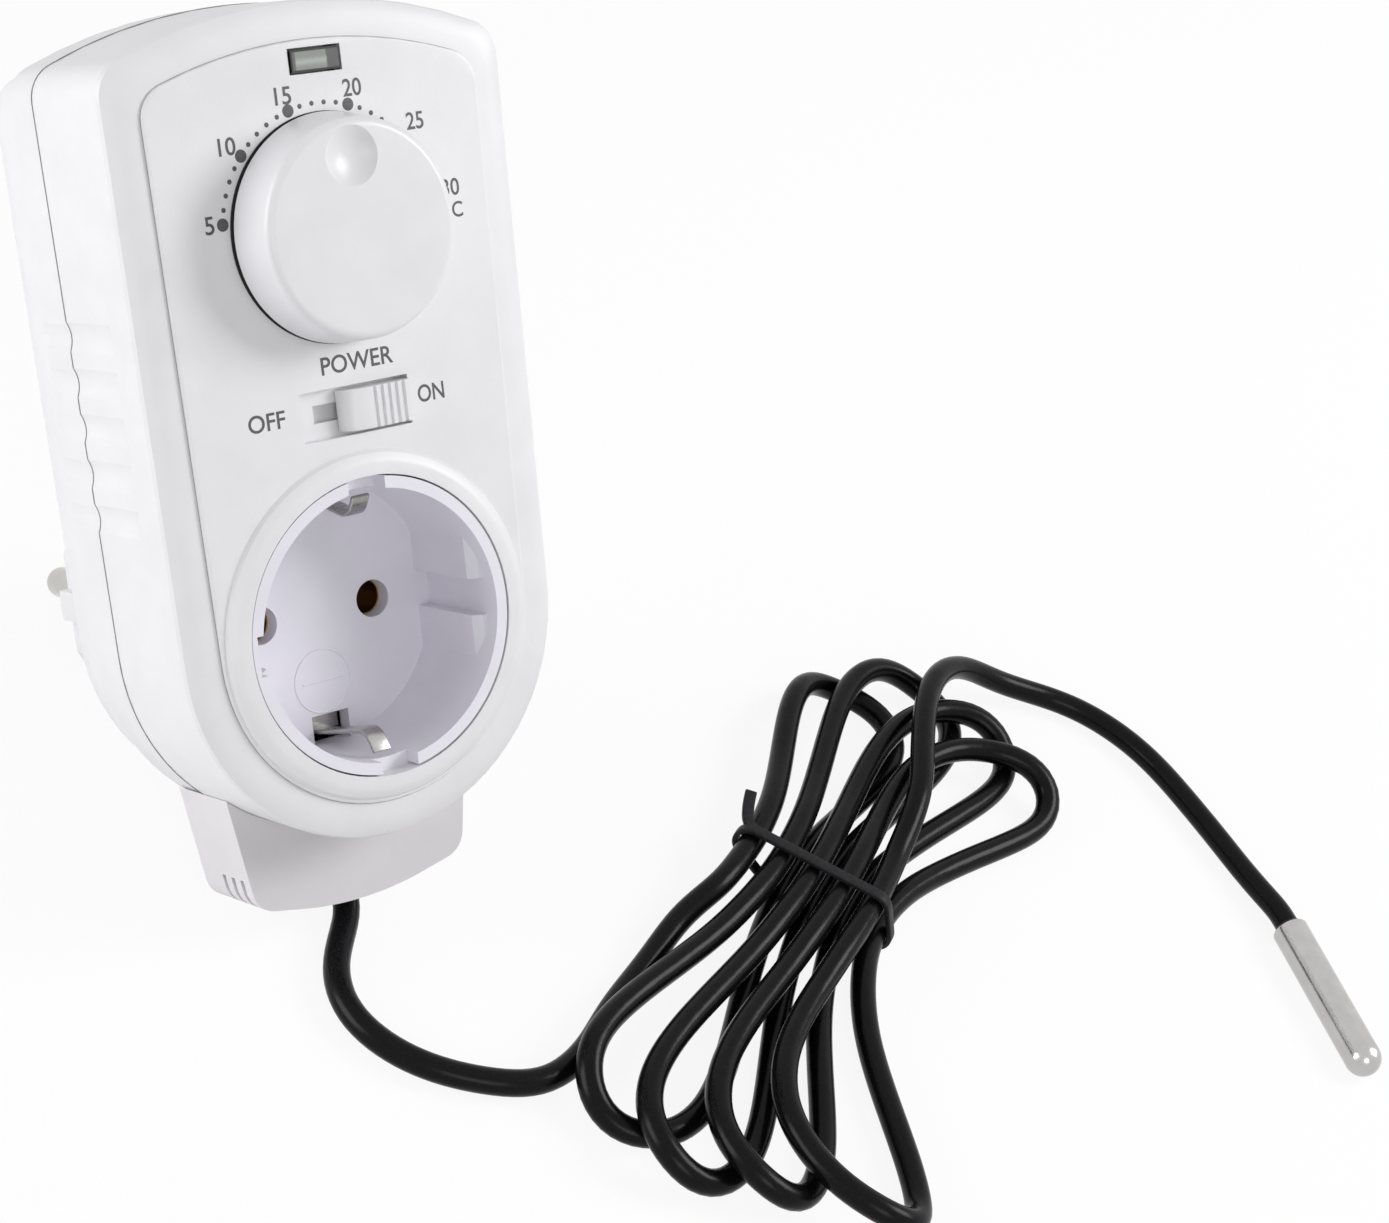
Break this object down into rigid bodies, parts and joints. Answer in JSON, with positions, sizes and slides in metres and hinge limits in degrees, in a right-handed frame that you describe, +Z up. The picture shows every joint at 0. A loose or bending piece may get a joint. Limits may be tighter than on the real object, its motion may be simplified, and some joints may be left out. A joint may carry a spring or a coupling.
{
  "type": "plug-in temperature controller",
  "caption": "Plug-in thermostat: a leaning case with an earthed mains socket, a round dial knob, a slide switch and an indicator window, with a probe on a tied black lead.",
  "frame": {"origin": "on the table under the middle of the case, which leans back on its plug and cable housing", "axes": "+Z up from the table, -Y the way the front plate faces along the table, +X to the right as seen from the front"},
  "size_m": [0.187, 0.1825, 0.1184],
  "materials": {
    "case_grey": "satin",
    "insert_grey": "gloss",
    "knob_grey": "satin",
    "spring_metal": "nickel plated",
    "plated_pin": "nickel plated",
    "brass": "stamped",
    "lens": "clear",
    "lamp": "gloss",
    "board_green": "satin",
    "inner_dark": "satin",
    "inner_yellow": "gloss",
    "lead_black": "satin",
    "probe_steel": "brushed"
  },
  "bodies": {
    "case": {"front_shell": "case_grey", "rear_shell": "case_grey", "cable_housing": "case_grey", "socket_insert": "insert_grey", "socket_earth_strap": "spring_metal", "plug_earth_strap": "spring_metal", "earth_post": "brass", "live_pin": "plated_pin", "neutral_pin": "plated_pin", "live_sleeve": "brass", "neutral_sleeve": "brass", "neutral_bar": "brass", "live_in_bar": "brass", "live_out_bar": "brass", "potentiometer": "inner_dark", "switch_body": "inner_dark", "indicator_lens": "lens", "indicator_lamp": "lamp", "lamp_spacer": "insert_grey", "circuit_board": "board_green", "relay": "inner_dark", "film_capacitor": "inner_yellow", "smoothing_capacitor": "inner_dark", "terminal_block": "board_green", "sensor_wires": "lead_black", "board_screws": "plated_pin", "case_screws": "plated_pin", "cord_grip": "inner_dark", "lead_start": "lead_black", "lead_hank": "lead_black", "lead_end": "lead_black", "hank_tie": "lead_black", "probe_sleeve": "probe_steel", "probe_plug": "inner_dark", "sensor_bead": "inner_dark"},
    "dial": {"knob": "knob_grey", "knob_spindle": "inner_dark"},
    "slider": {"switch_slider": "knob_grey"}
  },
  "joints": [
    {"name": "dial_turn", "type": "hinge", "parent": "case", "child": "dial", "pos_m": [0, 0.0009, 0.09479], "axis": [0, -0.8092, 0.5876], "range_deg": [-86, 77]},
    {"name": "power_slide", "type": "slide", "parent": "case", "child": "slider", "axis": [-1, 0, 0], "range_m": [0, 0.0063]}
  ]
}
